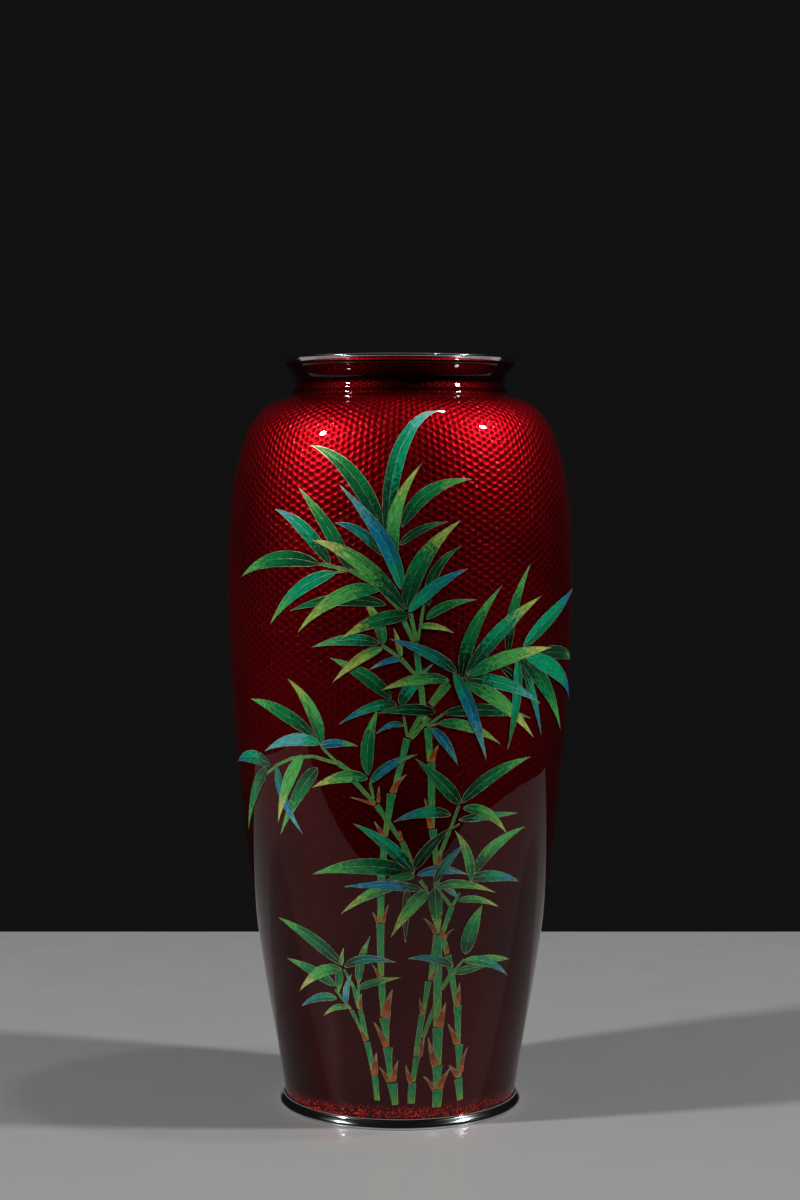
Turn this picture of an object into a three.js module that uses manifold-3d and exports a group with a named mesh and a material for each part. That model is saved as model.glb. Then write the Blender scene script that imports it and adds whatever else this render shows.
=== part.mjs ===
// Cloisonne vase: spun copper body, embossed silver foil, translucent red enamel, inlaid bamboo
// cells, enamelled lining and base, and silver rings at mouth and foot.
// Millimetres, +Z up, standing on z = 0, vase axis on Z, bamboo side towards -Y.

import * as THREE from 'three';
import { mergeVertices } from 'three/addons/utils/BufferGeometryUtils.js';
import { TessellateModifier } from 'three/addons/modifiers/TessellateModifier.js';
import Module from 'manifold-3d';

const wasm = await Module();
wasm.setup();

// Driving dimensions

const HEIGHT = 245;
const MOUTH_RING_HEIGHT = 2;
const FOOT_RING_HEIGHT = 3.4;
const WALL_TOP = HEIGHT - MOUTH_RING_HEIGHT;
const GROUND_ENAMEL = 0.8;
const FOIL = 0.2;
const COPPER = 1.2;
const LINING_ENAMEL = 0.6;
const FIT_GAP = 0.02;
const COPPER_FLOOR_Z = 7;
const SEGMENTS = 32;

// Outer face of the red enamel, [radius, height], foot to mouth.
const ENAMEL_PROFILE = [
  [38.0, FOOT_RING_HEIGHT], [44.0, 40], [50.6, 86], [55.4, 140], [56.3, 178], [54.0, 206],
  [49.6, 221.5], [43.6, 229.2], [37.8, 231.8], [35.0, 233.1], [34.0, 236.7], [34.7, 239.3],
  [36.5, 240.8], [37.7, WALL_TOP],
];

// Inlay cells float this far outside the enamel facets and have this thickness.
const INLAY_CLEARANCE = 0.4;
const INLAY_THICKNESS = 0.3;
const CELL_GAP = 0.3;
const SMALLEST_CELL_VOLUME = 10;
const LONGEST_CELL_EDGE = 10;
const FLAT_MM_PER_DEGREE = 0.98;
const DIVIDING_ROUNDS = 12;
const MERGE_DISTANCE = 1e-3;
const NORMAL_SPAN = 2;
const STEM_JOINT_LAP = 0.2;

// Bamboo leaves: base, middle and tip of the centre line, each as angle from the front in degrees
// and height in mm, then the greatest width in mm. Sprays and leaves run from back to front.
const LEAVES = {
  culm_1: [
    [-16.5, 48.2, -15.2, 55.3, -11.1, 63.7, 2.6],
    [-17, 46, -9.5, 48.7, 0.7, 50.3, 2.2],
    [-22.4, 41, -21.9, 45.8, -19.2, 51, 2.1],
    [-26.6, 42.3, -35, 41.9, -45.7, 37.8, 2.7],
    [-22, 39.5, -27.3, 39.3, -33.7, 35.9, 1.8],
  ],
  culm_5: [
    [21.3, 74.6, 29.8, 74.3, 39.4, 71.1, 2.2],
  ],
  spray_foot_left: [
    [-26.7, 46.5, -37.5, 50.6, -51.2, 52.9, 3.6],
    [-23.3, 53.7, -37.2, 61.6, -53.7, 65.9, 4.3],
    [-23.4, 52.1, -34, 50.1, -45.7, 42.7, 3.6],
    [-23.3, 53.3, -23, 56, -22, 59.2, 1.3],
    [-24, 52, -24.9, 48.4, -25.4, 44.2, 2.7],
    [-22, 53, -13, 56, -1.8, 55.2, 2.8],
  ],
  spray_foot_right: [
    [27, 54.5, 38, 54.3, 48.6, 53, 2.8],
    [21.8, 51, 29, 52, 37, 52.2, 2.6],
    [25.2, 54.6, 36, 53.5, 48.7, 47.7, 3],
    [26, 57, 27.9, 65, 31.8, 72.6, 5.4],
    [21, 53.2, 12.5, 56.2, 3, 56.4, 2.5],
  ],
  spray_left: [
    [-29.3, 126.3, -43.2, 133.2, -59.3, 136, 4.5],
    [-27, 124, -38.5, 124.5, -52.2, 119.8, 3.9],
    [-27, 123.2, -21, 124.5, -13.8, 123.8, 2.6],
    [-26.5, 123.7, -30.2, 135, -39, 143.8, 4.4],
    [-28.5, 116.2, -36.5, 108, -47.2, 93.6, 4.6],
    [-46, 116, -43.8, 105.5, -36, 94.8, 3.7],
    [-33.8, 120, -41.8, 110, -47.7, 97.3, 4.5],
    [-49.3, 115.6, -62, 117.2, -78.5, 113.8, 4.4],
    [-51.5, 114.3, -61.5, 105.7, -72.5, 92, 4.6],
    [-10.4, 114.8, -10.4, 125, -6.8, 135.8, 4.1],
    [-10.8, 113.6, -19.5, 113.9, -31, 109.9, 3.7],
    [-9.8, 112.3, -3.3, 118, 5.6, 121.3, 2.8],
  ],
  spray_middle_left: [
    [-5.6, 155.4, -6.8, 162, -12.5, 171, 3.4],
    [-6.5, 155.6, -16.5, 156.7, -29, 154, 3.5],
    [-5.5, 154.2, -13.2, 150.6, -22, 143.2, 3.1],
    [0.3, 151.7, -0.5, 155.8, -2, 160.6, 1.9],
    [0, 150.7, -4, 150.3, -10, 147.4, 1.9],
  ],
  spray_upper_left: [
    [-15.8, 178, -23.8, 191.5, -35, 203.2, 4.3],
    [-22.3, 179.7, -32.6, 190.8, -44.5, 196.3, 4.4],
    [-26.3, 179.8, -44, 180.7, -63, 174.6, 4.9],
    [-20.5, 177.2, -34, 171.5, -46.2, 160.3, 4.3],
    [-4.3, 167.6, -20, 168.9, -37, 165, 3.8],
    [-6, 172.2, -20, 169.5, -34.2, 158.3, 4.6],
    [1.5, 166, -13, 180.8, -29.2, 187.1, 5],
  ],
  spray_crown: [
    [-5, 189, -16.5, 208, -33.5, 217.2, 5.2],
    [-5, 182.5, -12.8, 189.8, -21, 192.4, 3.1],
    [0.5, 191.3, 9.5, 202, 24, 205.8, 4.2],
    [-4, 187, 1, 216.3, 17, 226.9, 4.8],
    [0, 185.8, 6.3, 190.4, 15.2, 192.8, 2.5],
    [-1, 181.5, -1.2, 196.5, 7.4, 210.9, 4],
  ],
  spray_upper: [
    [0.3, 172.3, -5.8, 188.3, -20, 204.2, 4.6],
    [8.8, 167.2, 11.2, 178, 19.5, 185.4, 3.2],
    [2, 166.3, 7.2, 181.5, 19.6, 193.4, 5.4],
    [8.3, 163.1, 14.5, 167.2, 24.6, 168.9, 2.9],
    [6, 160.7, 11, 160.9, 17, 158.8, 2],
    [2.6, 165.3, 11, 173.2, 21.6, 178.4, 3.7],
    [3, 164.3, -7.5, 162.6, -18.8, 156.9, 4.2],
  ],
  spray_right: [
    [37, 151.5, 39, 166, 46.7, 179.7, 4],
    [41, 142.5, 37, 146, 33, 148.2, 2.6],
    [14, 134, 30, 134.4, 48.2, 130.7, 3.8],
    [12.3, 131, 23.2, 129.4, 35, 123.4, 3.2],
    [20.8, 143.5, 35.2, 136.2, 50.6, 124.2, 4.6],
    [40.5, 150.8, 41, 137, 38, 121.5, 3.9],
    [42.5, 148, 49, 137.5, 54.7, 124.8, 3.2],
    [50, 151.2, 68, 150, 88, 146.3, 4.2],
    [42.5, 149.8, 57, 139.3, 70.5, 125, 5.8],
    [44, 150.5, 64.5, 144, 87, 133, 5.6],
    [43, 153.6, 59, 163.2, 80, 170.2, 5.2],
    [20, 144.5, 23.6, 159.5, 34, 173.2, 4.3],
    [21.5, 145.8, 34.5, 159.8, 51.6, 169.1, 5],
    [20.8, 144.8, 36, 142.1, 53, 135, 4.1],
    [21.8, 145.6, 38.5, 150.9, 58.5, 152.4, 4.6],
    [1, 130.3, -2.8, 130.6, -7.6, 127.9, 1.9],
    [10.3, 129.4, 15, 124.7, 19.4, 117.4, 3],
    [18, 146.6, 9, 152.6, -3.6, 157.3, 3.5],
    [17, 146.6, 23.4, 134.5, 29.6, 118.6, 4.1],
  ],
  spray_middle: [
    [-2.8, 138.7, -11.8, 146, -22.6, 150.9, 4.4],
    [0.3, 136.7, 3.5, 142.5, 10.4, 149.4, 3.8],
    [-1, 136.8, -9, 136, -20, 130.4, 3],
    [11.2, 134.4, 3, 135.4, -7.2, 134.2, 3.4],
    [15.2, 144.3, 5, 144.6, -6, 141.2, 3.5],
  ],
  spray_mid_right: [
    [20.3, 100.4, 32, 101, 45, 100.8, 2.6],
    [17.3, 102, 8, 103.1, -2.2, 100.2, 3.4],
    [20.6, 105.4, 14, 112.2, 5, 120.1, 4.4],
    [21, 105.8, 33.5, 114.2, 49.6, 118.3, 4.3],
    [21.8, 104, 31.3, 101.7, 40.3, 94.7, 3.3],
  ],
  spray_low_right: [
    [27, 82.7, 35.8, 91.2, 49.7, 95.8, 4.2],
    [26, 81.2, 36.5, 81.3, 49.5, 78.2, 3.6],
    [26.3, 80.5, 24.2, 89.3, 19, 97.1, 3.2],
  ],
  spray_centre: [
    [4.6, 83.6, -13, 85.9, -33.2, 82.1, 5.2],
    [5, 84, -4.6, 93, -16.2, 99.4, 3.9],
    [5, 85, 10, 91.8, 17.8, 98.2, 3.5],
    [6, 83.3, 15, 84.7, 24.4, 82.8, 3],
    [5.2, 83, 0.5, 82.8, -5, 81.7, 2.4],
  ],
  spray_centre_low: [
    [12.3, 80.5, 16.5, 87, 23.5, 92.8, 3],
    [1, 80.3, -9.8, 77.6, -22.2, 70.2, 3.3],
    [8, 78.6, -5, 80.1, -20.3, 79.1, 3],
    [2.6, 79, 2.1, 71, 2, 61.7, 2.3],
    [10.3, 78, 3.9, 73, -3.3, 63.5, 4.2],
    [15, 80, 18.5, 78, 21.4, 75.2, 2.2],
    [12.8, 78.8, 22.5, 79.9, 37, 76, 2.8],
    [12.5, 79.3, 13.2, 72, 14.8, 64.3, 4.2],
  ],
};

// Culms and branches: one row for each length between nodes, as bottom angle, height and width,
// then top angle, height and width.
const STEMS = {
  culm_1: [
    [-10.7, 9.3, 1.6, -11.4, 17.6, 1.8], [-11.4, 17.6, 1.3, -14.2, 28.6, 2.0],
    [-14.3, 28.6, 1.3, -16.6, 39.4, 1.6], [-16.8, 39.4, 1.2, -18.8, 46.5, 1.1],
    [-18.8, 46.5, 1.0, -22.3, 52, 0.8], [-14.6, 29.5, 1.1, -20.4, 38.9, 1.2],
    [-20.4, 38.9, 0.9, -27, 45.3, 0.8], [-16.8, 39.4, 0.8, -16.6, 48.2, 0.8],
  ],
  culm_2: [
    [-2.2, 8, 1.9, -3.4, 15.2, 3.5], [-4.3, 15.2, 1.5, -5.3, 27.2, 3.1],
    [-5.9, 27.2, 1.7, -6.3, 37, 3.4], [-6.8, 37, 1.6, -7.4, 50.6, 2.4],
    [-7.4, 50.6, 1.8, -7.3, 67.9, 2.5], [-7.2, 67.9, 1.9, -6.4, 83.6, 2.2],
    [-6.4, 83.6, 1.8, -5.3, 95.5, 2.1], [-5, 95.5, 1.6, -2.6, 109.3, 2.8],
    [-2.2, 109.3, 1.6, 2.3, 126.4, 2.2],
  ],
  culm_3: [
    [5.2, 8.4, 2.1, 5.6, 15.2, 2.3], [5.9, 15.2, 1.4, 7.2, 24, 1.9],
    [6.9, 24, 1.5, 9.3, 38.1, 1.9], [9.5, 38.1, 1.3, 11.4, 48.9, 2.0],
    [12, 48.9, 1.5, 13.9, 63.8, 2.0],
  ],
  culm_4: [
    [17.6, 6.7, 2.7, 17.6, 12.6, 3.3], [17.1, 12.6, 2.1, 17, 20.7, 3.6],
    [16.8, 20.7, 2.6, 16, 33.5, 3.3], [15.7, 33.5, 2.5, 14.3, 64, 2.0],
    [13.9, 64, 1.7, 12.9, 86.2, 2.0], [12.9, 86.2, 1.6, 11.1, 97.9, 2.4],
    [10.9, 97.9, 1.9, 10.2, 118.9, 2.3], [9.9, 118.9, 1.8, 8.8, 129.9, 2.5],
    [8.4, 129.9, 1.7, 4.8, 156, 1.6],
  ],
  culm_5: [
    [29.6, 8.2, 2.0, 27.8, 15.6, 2.8], [28.1, 15.6, 1.5, 26.3, 27, 2.9],
    [25.9, 27, 1.7, 24, 40.2, 2.7], [23.7, 40.2, 1.7, 18.7, 57.1, 1.8],
    [18.4, 57.1, 1.4, 16, 63.8, 2.2], [16, 63.8, 1.4, 19.3, 72.8, 1.8],
    [19.3, 72.8, 1.0, 22, 77, 0.8],
  ],
  branch_top: [
    [4.7, 155.6, 1.4, 0.8, 163.5, 1.6], [4.9, 155.6, 1.2, 3.2, 165, 1.3],
    [5.2, 155.6, 1.0, 7.4, 167.8, 0.9],
  ],
  branch_crown: [
    [1, 165.3, 1.6, -6.7, 173.2, 1.2], [-6.7, 173.2, 1.1, -15.5, 178, 1.3],
    [-15.5, 178, 1.0, -26.3, 179.9, 0.8],
  ],
  branch_middle_left: [[4.7, 146.3, 1.0, 0, 151.2, 1.5], [0, 151.2, 0.9, -5.6, 155.2, 0.9]],
  branch_middle_right: [
    [2.4, 126.6, 1.5, 7, 133.8, 1.6], [7, 133.8, 1.4, 15.3, 144.6, 1.3],
    [8.6, 130, 0.9, 13.8, 133.7, 0.9],
  ],
  branch_left: [
    [5, 85, 1.5, 0.5, 94.2, 1.7], [0.5, 94.2, 1.2, -8.1, 105.7, 1.8],
    [-8.1, 105.7, 1.1, -15.9, 114.5, 1.6], [-15.9, 114.5, 1.4, -21.4, 118.5, 1.4],
    [-21.4, 118.5, 0.9, -26.4, 122.8, 0.9], [-21.4, 118.5, 0.9, -30, 119.9, 0.9],
    [-30, 119.9, 0.9, -38.5, 118.8, 0.9], [-38.5, 118.8, 0.9, -54, 111.6, 0.8],
    [-8.4, 106.5, 0.8, -9.9, 112.3, 0.8],
  ],
  branch_low_right: [[13.2, 87.5, 1.2, 17.4, 97.6, 1.1], [17.4, 97.6, 0.9, 20.2, 104.8, 0.8]],
  branch_foot: [[9.5, 29, 1.1, 15.1, 43.2, 1.3], [15.1, 43.2, 1.2, 25.4, 55.3, 0.9]],
};

// Dry brown sheaths at the nodes, in the same terms as the leaves.
const SHEATHS = {
  culm_1: [[-11.6, 17.7, -11.2, 21.3, -10.2, 25.3, 1.7], [-14.9, 28.8, -15.9, 31.3, -18, 33.8, 0.9]],
  culm_2: [
    [-5.1, 15.4, -6.7, 17.8, -9.2, 20.5, 1.0], [-3.1, 15.6, -2.4, 19, -0.9, 22.8, 1.3],
    [-5.8, 27.3, -7.8, 31, -10.9, 35.4, 1.5], [-5.9, 37, -5.2, 41, -3, 46.3, 2.2],
    [-8, 50.4, -8.9, 52, -11, 54.5, 0.9], [-8.1, 68, -8.8, 69.3, -10.1, 71.3, 0.8],
    [-6.3, 67.8, -5.6, 70.5, -4, 74, 0.9], [-5.7, 95.5, -6.8, 97.5, -8.8, 100.3, 1.2],
    [-2.4, 109.2, -1.2, 112, 2.2, 115.2, 1.4],
  ],
  culm_3: [
    [5.5, 15.5, 3.9, 17.5, 2.6, 21.2, 1.3], [8.2, 24, 9.3, 27, 10.4, 31, 1.2],
    [9.3, 38.2, 8.7, 40.3, 7.8, 43.3, 0.9], [12.3, 49.2, 13.5, 51.2, 15.2, 53.8, 0.9],
  ],
  culm_4: [
    [15.8, 12.6, 13.9, 15, 10.5, 17.4, 1.0], [18.4, 12.8, 19.8, 15.8, 23, 19.3, 1.7],
    [16.6, 20.7, 14.3, 24, 12, 30.2, 1.9], [16.5, 33.5, 17.3, 37, 18.9, 41.5, 2.0],
    [13.3, 64.3, 11.6, 67, 8.6, 69.5, 1.0], [13.2, 86.3, 13.9, 88.2, 14.1, 90.6, 1.3],
    [10.5, 98, 9.7, 102, 8.2, 107.7, 1.4], [10.4, 118.8, 11, 121.3, 12.6, 124.2, 1.5],
  ],
  culm_5: [
    [27.5, 16.6, 25.5, 18, 22.2, 20.6, 1.7], [28.8, 17.5, 29, 21.5, 30.9, 25.7, 1.2],
    [25.7, 27.3, 23.5, 30.3, 20.4, 34.5, 1.6], [24, 40.2, 24.2, 43.5, 24.4, 47.6, 1.5],
    [16.5, 63, 18.3, 64.3, 20.5, 65.4, 0.9],
  ],
  branch_left: [
    [-8.3, 105.6, -11.8, 106.6, -16.8, 107.7, 0.8], [-7.2, 105.5, -7.1, 108.8, -6.9, 111.5, 0.8],
  ],
};

// Leaf width along its length: blunt at the base, widest before the middle, drawn out to the tip.
const LEAF_BASE_POWER = 0.62;
const LEAF_TIP_POWER = 0.95;
const SHEATH_BASE_POWER = 0.12;
const SHEATH_TIP_POWER = 0.8;
const OUTLINE_STATIONS = [0.2, 0.62];

function material(colour, roughness, metalness) {
  return new THREE.MeshStandardMaterial({ color: colour, roughness, metalness });
}

const COPPER_METAL = material(0xb0643a, 0.4, 1);
const SILVER_FOIL = material(0xd9d9d6, 0.3, 1);
const RED_ENAMEL = material(0x7a0612, 0.06, 0.2);
const LINING = material(0x141a22, 0.12, 0);
const SILVER_RING = material(0xc9ccd0, 0.1, 1);
const LEAF_ENAMEL = material(0x1f8a4c, 0.1, 0);
const STEM_ENAMEL = material(0x6fa04a, 0.1, 0);

const vase = new THREE.Group();

function addMesh(name, geometry, look) {
  const mesh = new THREE.Mesh(geometry, look);
  mesh.name = name;
  vase.add(mesh);
  return mesh;
}

// Bodies of revolution

function addTurned(name, profile, look) {
  const points = profile.map(([radius, height]) => new THREE.Vector2(radius, height));
  const mesh = addMesh(name, new THREE.LatheGeometry(points, SEGMENTS), look);
  mesh.rotation.x = Math.PI / 2;
  return mesh;
}

// Unit normal of the enamel profile between two of its points, pointing away from the axis.
function segmentNormal([r0, z0], [r1, z1]) {
  const length = Math.hypot(r1 - r0, z1 - z0);
  return [(z1 - z0) / length, (r0 - r1) / length];
}

// The enamel profile moved inwards by a depth, its two ends kept at their heights.
function inset(depth) {
  return ENAMEL_PROFILE.map((point, i) => {
    const before = ENAMEL_PROFILE[Math.max(i - 1, 0)];
    const after = ENAMEL_PROFILE[Math.min(i + 1, ENAMEL_PROFILE.length - 1)];
    const [nr, nz] = segmentNormal(before, after);
    const atEnd = before === point || after === point;
    if (atEnd) {
      return [point[0] - depth / nr, point[1]];
    }
    return [point[0] - depth * nr, point[1] - depth * nz];
  });
}

function closedShell(outer, inner) {
  return [...outer, ...[...inner].reverse(), outer[0]];
}

const foilDepth = GROUND_ENAMEL;
const copperDepth = foilDepth + FOIL;
const liningDepth = copperDepth + COPPER;
const copperOuter = inset(copperDepth);
const copperInner = inset(liningDepth - FIT_GAP);
const liningOuter = inset(liningDepth);
const liningInner = inset(liningDepth + LINING_ENAMEL);

const enamelBack = inset(foilDepth - FIT_GAP);
const foilFace = inset(foilDepth);
const foilBack = inset(copperDepth - FIT_GAP);

addTurned('ground_enamel', closedShell(ENAMEL_PROFILE, enamelBack), RED_ENAMEL);
addTurned('silver_foil', closedShell(foilFace, foilBack), SILVER_FOIL);

// The copper wall stands on the foot ring and carries a floor a little above it.
const SKIRT_RADIUS = copperInner[0][0];
const copperFloorTop = COPPER_FLOOR_Z + COPPER;
const wallFoot = copperInner[0];
const wallNext = copperInner[1];

function wallRadius([r0, z0], [r1, z1], height) {
  return r0 + ((r1 - r0) * (height - z0)) / (z1 - z0);
}

const floorCorner = [wallRadius(wallFoot, wallNext, copperFloorTop), copperFloorTop];

addTurned('copper_body', [
  [0, COPPER_FLOOR_Z],
  [SKIRT_RADIUS, COPPER_FLOOR_Z],
  [SKIRT_RADIUS, FOOT_RING_HEIGHT],
  ...copperOuter,
  ...copperInner.slice(1).reverse(),
  floorCorner,
  [0, copperFloorTop],
], COPPER_METAL);

const liningFloor = copperFloorTop + FIT_GAP;
const liningFloorTop = liningFloor + LINING_ENAMEL;

addTurned('lining_enamel', [
  [0, liningFloor],
  [wallRadius(liningOuter[0], liningOuter[1], liningFloor), liningFloor],
  ...liningOuter.slice(1),
  ...liningInner.slice(1).reverse(),
  [wallRadius(liningInner[0], liningInner[1], liningFloorTop), liningFloorTop],
  [0, liningFloorTop],
], LINING);

const baseRadius = SKIRT_RADIUS - FIT_GAP;
const baseTop = COPPER_FLOOR_Z - FIT_GAP;

addTurned('base_enamel', [
  [0, baseTop - LINING_ENAMEL],
  [baseRadius, baseTop - LINING_ENAMEL],
  [baseRadius, baseTop],
  [0, baseTop],
], LINING);

addTurned('mouth_rim', [
  [34.7, WALL_TOP], [38.1, WALL_TOP], [38.6, WALL_TOP + 0.5], [38.6, HEIGHT - 0.6],
  [38.1, HEIGHT], [35.1, HEIGHT], [34.5, HEIGHT - 0.6], [34.5, WALL_TOP + 0.4],
  [34.7, WALL_TOP],
], SILVER_RING);

addTurned('foot_ring', [
  [34.6, 0], [38.9, 0], [39.6, 0.5], [39.9, 1.4], [39.9, 2.1], [39.5, 2.9],
  [38.9, FOOT_RING_HEIGHT], [34.6, FOOT_RING_HEIGHT], [34.6, 0],
], SILVER_RING);

// Bamboo cells: cut flat, with x along the girth, y up and z outwards, then wrapped on the vase

function profileAt(height) {
  const last = ENAMEL_PROFILE.length - 2;
  const found = ENAMEL_PROFILE.findIndex((point, k) => k > 0 && point[1] >= height) - 1;
  const i = Math.min(Math.max(found, 0), last);
  return wallRadius(ENAMEL_PROFILE[i], ENAMEL_PROFILE[i + 1], height);
}

function flatPerMm(height) {
  return FLAT_MM_PER_DEGREE / (THREE.MathUtils.degToRad(1) * profileAt(height));
}

function manifoldOf(geometry) {
  geometry.deleteAttribute('normal');
  geometry.deleteAttribute('uv');
  const merged = mergeVertices(geometry);
  return new wasm.Manifold(new wasm.Mesh({
    numProp: 3,
    vertProperties: merged.attributes.position.array,
    triVerts: new Uint32Array(merged.index.array),
  }));
}

function prism(outline, bottom, height) {
  const geometry = new THREE.ExtrudeGeometry(new THREE.Shape(outline), {
    depth: height,
    bevelEnabled: false,
  });
  geometry.translate(0, 0, bottom);
  return manifoldOf(geometry);
}

// A cell, or with a margin the cutter that clears it through every neighbour.
function cellPrism(outline, margin) {
  if (margin > 0) {
    return prism(outline, -1, 3);
  }
  return prism(outline, INLAY_CLEARANCE, INLAY_THICKNESS);
}

function leafPrism(row, basePower, tipPower, margin) {
  const [baseDeg, baseZ, midDeg, midZ, tipDeg, tipZ, width] = row;
  const stretch = flatPerMm((baseZ + tipZ) / 2);
  const flat = (degrees, height) =>
    new THREE.Vector2((degrees * FLAT_MM_PER_DEGREE) / stretch, height);
  const base = flat(baseDeg, baseZ);
  const tip = flat(tipDeg, tipZ);
  const control = flat(midDeg, midZ).multiplyScalar(2).sub(base.clone().add(tip).multiplyScalar(0.5));
  const line = new THREE.QuadraticBezierCurve(base, control, tip);
  const widest = basePower / (basePower + tipPower);
  const side = (t, sign, extra) => {
    const tangent = line.getTangent(t);
    const taper = (t / widest) ** basePower * ((1 - t) / (1 - widest)) ** tipPower;
    const reach = sign * ((taper * width) / 2 + extra);
    return line.getPoint(t).add(new THREE.Vector2(-tangent.y, tangent.x).multiplyScalar(reach));
  };
  const before = line.getTangent(0).multiplyScalar(margin);
  const beyond = line.getTangent(1).multiplyScalar(margin);
  const right = OUTLINE_STATIONS.map((t) => side(t, -1, margin));
  const left = OUTLINE_STATIONS.map((t) => side(t, 1, margin)).reverse();
  const ends = margin > 0
    ? [side(0, -1, margin).sub(before), side(1, -1, margin).add(beyond),
      side(1, 1, margin).add(beyond), side(0, 1, margin).sub(before)]
    : [base, tip];
  const outline = margin > 0
    ? [ends[0], ...right, ends[1], ends[2], ...left, ends[3]]
    : [ends[0], ...right, ends[1], ...left];
  outline.forEach((point) => {
    point.x *= stretch;
  });
  return cellPrism(outline, margin);
}

function stemPrism(row, margin) {
  const [bottomDeg, bottomZ, bottomWidth, topDeg, topZ, topWidth] = row;
  const stretch = flatPerMm((bottomZ + topZ) / 2);
  const bottom = new THREE.Vector2((bottomDeg * FLAT_MM_PER_DEGREE) / stretch, bottomZ);
  const top = new THREE.Vector2((topDeg * FLAT_MM_PER_DEGREE) / stretch, topZ);
  const along = top.clone().sub(bottom).normalize();
  const across = new THREE.Vector2(-along.y, along.x);
  const corner = (end, width, sign, push) => end.clone()
    .addScaledVector(across, sign * (width / 2 + margin))
    .addScaledVector(along, push * (margin + STEM_JOINT_LAP));
  const outline = [
    corner(bottom, bottomWidth, 1, -1), corner(bottom, bottomWidth, -1, -1),
    corner(top, topWidth, -1, 1), corner(top, topWidth, 1, 1),
  ];
  outline.forEach((point) => {
    point.x *= stretch;
  });
  return cellPrism(outline, margin);
}

function joined(solids) {
  return solids.reduce((all, solid) => all.add(solid));
}

function stemSolids(name, margin) {
  return [
    ...STEMS[name].map((row) => stemPrism(row, margin)),
    ...(SHEATHS[name] ?? []).map((row) => (
      leafPrism(row, SHEATH_BASE_POWER, SHEATH_TIP_POWER, margin))),
  ];
}

function leafSolids(rows, margin) {
  return rows.map((row) => leafPrism(row, LEAF_BASE_POWER, LEAF_TIP_POWER, margin));
}

// Wraps a flat solid round the vase, its long edges divided first so that it follows the girth.
function wrapped(solid) {
  const cut = solid.getMesh();
  const flat = new THREE.BufferGeometry();
  flat.setAttribute('position', new THREE.BufferAttribute(new Float32Array(cut.vertProperties), 3));
  flat.setIndex(new THREE.BufferAttribute(new Uint32Array(cut.triVerts), 1));
  const divider = new TessellateModifier(LONGEST_CELL_EDGE, DIVIDING_ROUNDS);
  const fine = mergeVertices(divider.modify(flat), MERGE_DISTANCE);
  const place = fine.attributes.position;
  for (let i = 0; i < place.count; i += 1) {
    const angle = THREE.MathUtils.degToRad(place.getX(i) / FLAT_MM_PER_DEGREE);
    const height = place.getY(i);
    const below = [profileAt(height - NORMAL_SPAN), height - NORMAL_SPAN];
    const above = [profileAt(height + NORMAL_SPAN), height + NORMAL_SPAN];
    const [nr, nz] = segmentNormal(below, above);
    const radius = profileAt(height) + nr * place.getZ(i);
    place.setXYZ(i, radius * Math.sin(angle), -radius * Math.cos(angle), height + nz * place.getZ(i));
  }
  return fine;
}

let inFront = null;

// Adds one group of cells, cut back where the groups in front of it lie.
function addCells(name, solidsAt, look) {
  const whole = joined(solidsAt(0));
  const visible = inFront ? whole.subtract(inFront) : whole;
  const pieces = visible.decompose().filter((piece) => piece.volume() > SMALLEST_CELL_VOLUME);
  pieces.sort((a, b) => b.volume() - a.volume());
  pieces.forEach((piece, i) => {
    const label = pieces.length > 1 ? `${name}_${i + 1}` : name;
    addMesh(label, wrapped(piece), look);
  });
  const cleared = joined(solidsAt(CELL_GAP));
  inFront = inFront ? inFront.add(cleared) : cleared;
}

// Front to back: every spray carries the twig it grows on, every culm its sheaths.
const CELL_GROUPS = [
  ['spray_right', ['branch_middle_right']],
  ['spray_upper', ['branch_top']],
  ['spray_upper_left', ['branch_crown']],
  ['spray_crown', []],
  ['spray_middle_left', ['branch_middle_left']],
  ['spray_middle', []],
  ['spray_left', ['branch_left']],
  ['spray_mid_right', ['branch_low_right']],
  ['spray_low_right', []],
  ['spray_centre', []],
  ['spray_centre_low', []],
  ['spray_foot_right', ['branch_foot']],
  ['spray_foot_left', []],
  ['culm_5', ['culm_5']],
  ['culm_4', ['culm_4']],
  ['culm_3', ['culm_3']],
  ['culm_2', ['culm_2']],
  ['culm_1', ['culm_1']],
];

CELL_GROUPS.forEach(([name, stems]) => {
  const solids = (margin) => [
    ...stems.flatMap((stem) => stemSolids(stem, margin)),
    ...leafSolids(LEAVES[name] ?? [], margin),
  ];
  addCells(name, solids, stems.includes(name) ? STEM_ENAMEL : LEAF_ENAMEL);
});

export default vase;
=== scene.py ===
import bisect
import math
import random

import bpy
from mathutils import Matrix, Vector


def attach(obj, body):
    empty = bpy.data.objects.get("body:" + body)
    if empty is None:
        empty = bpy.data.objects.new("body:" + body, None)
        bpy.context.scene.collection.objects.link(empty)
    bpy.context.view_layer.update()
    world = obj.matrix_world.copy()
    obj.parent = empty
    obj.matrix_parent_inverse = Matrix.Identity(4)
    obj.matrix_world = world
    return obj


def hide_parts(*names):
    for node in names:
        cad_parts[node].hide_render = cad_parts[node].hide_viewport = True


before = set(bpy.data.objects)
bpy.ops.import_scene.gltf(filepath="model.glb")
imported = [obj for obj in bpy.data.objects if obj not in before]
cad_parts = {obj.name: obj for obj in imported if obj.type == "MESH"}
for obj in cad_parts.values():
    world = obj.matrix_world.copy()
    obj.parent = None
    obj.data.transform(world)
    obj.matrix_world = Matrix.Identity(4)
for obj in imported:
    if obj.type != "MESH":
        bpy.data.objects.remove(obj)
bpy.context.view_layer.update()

MM = 0.001

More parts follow.
